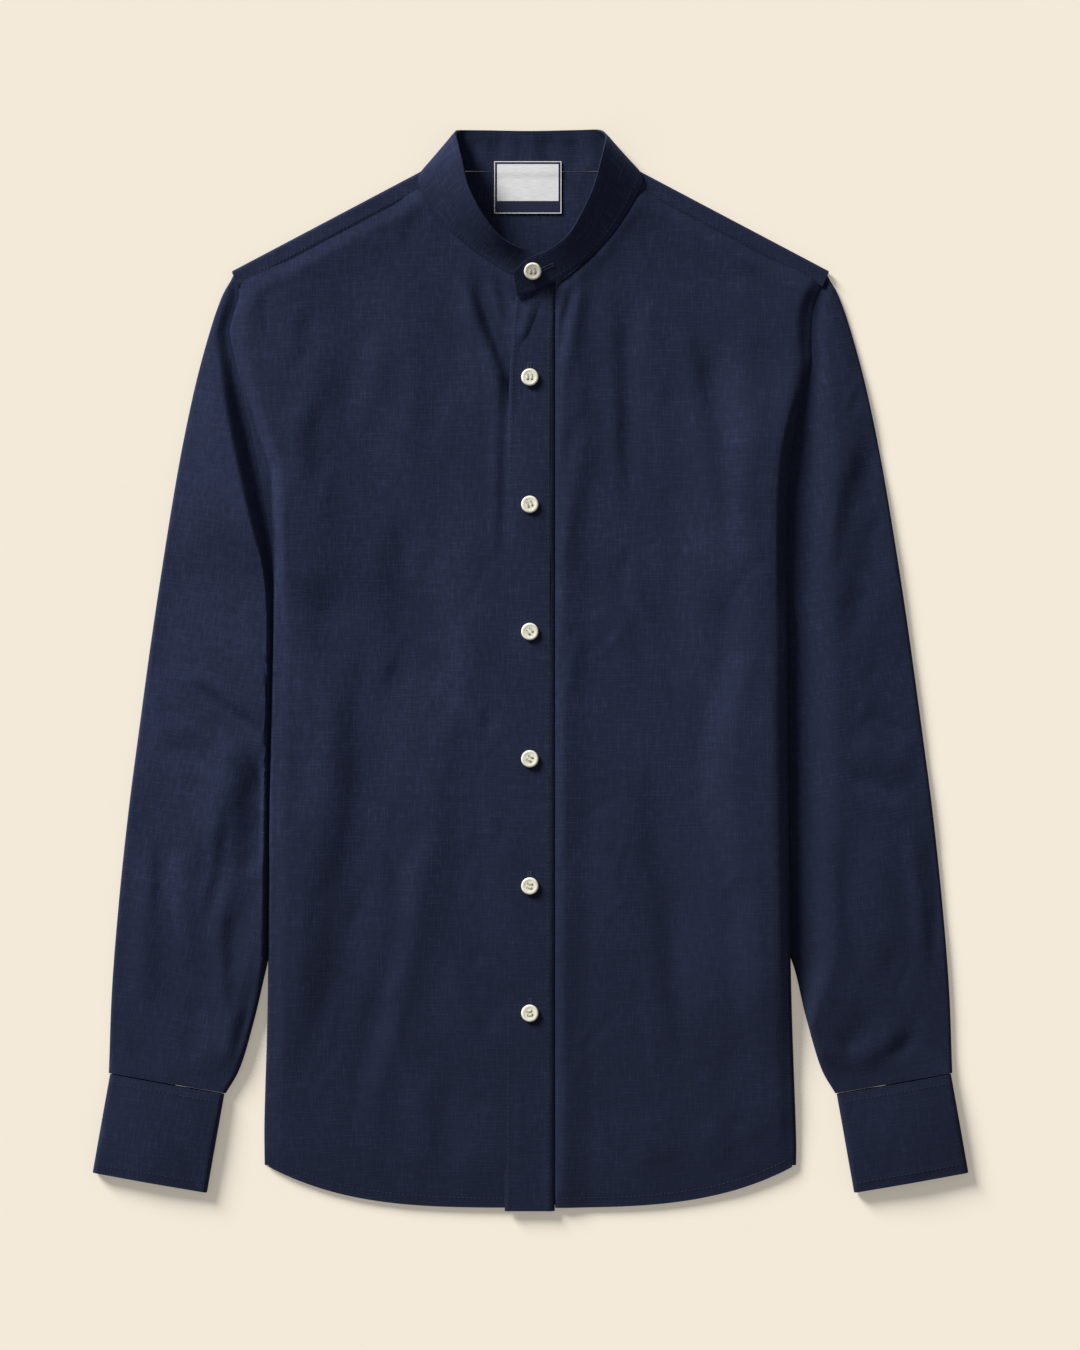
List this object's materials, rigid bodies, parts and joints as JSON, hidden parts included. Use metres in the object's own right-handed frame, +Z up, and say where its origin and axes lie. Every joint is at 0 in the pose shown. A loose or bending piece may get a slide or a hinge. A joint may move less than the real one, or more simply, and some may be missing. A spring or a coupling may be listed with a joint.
{
  "type": "mandarin collar shirt",
  "caption": "Long-sleeved linen shirt with a short standing band collar and a buttoned front, laid flat on its back with the sleeves down.",
  "frame": {"origin": "on the surface that the shirt lies on, midway between its collar and hem and between its cuffs", "axes": "+Y towards the collar, +X towards the wearer's left sleeve, +Z up out of the front"},
  "size_m": [0.638, 0.7892, 0.0139],
  "materials": {
    "linen": "dark navy plain-woven linen with slubs",
    "label": "pale woven label with a navy border",
    "button": "ivory, satin gloss"
  },
  "bodies": {
    "root": {"back": "linen", "yoke": "linen", "front_right": "linen", "front_left": "linen", "placket": "linen", "collar_band": "linen", "sleeve_right": "linen", "sleeve_left": "linen", "cuff_right": "linen", "cuff_left": "linen", "neck_label": "label", "button_1": "button", "button_2": "button", "button_3": "button", "button_4": "button", "button_5": "button", "button_6": "button", "button_7": "button", "cuff_button_right": "button", "cuff_button_left": "button"}
  },
  "joints": []
}
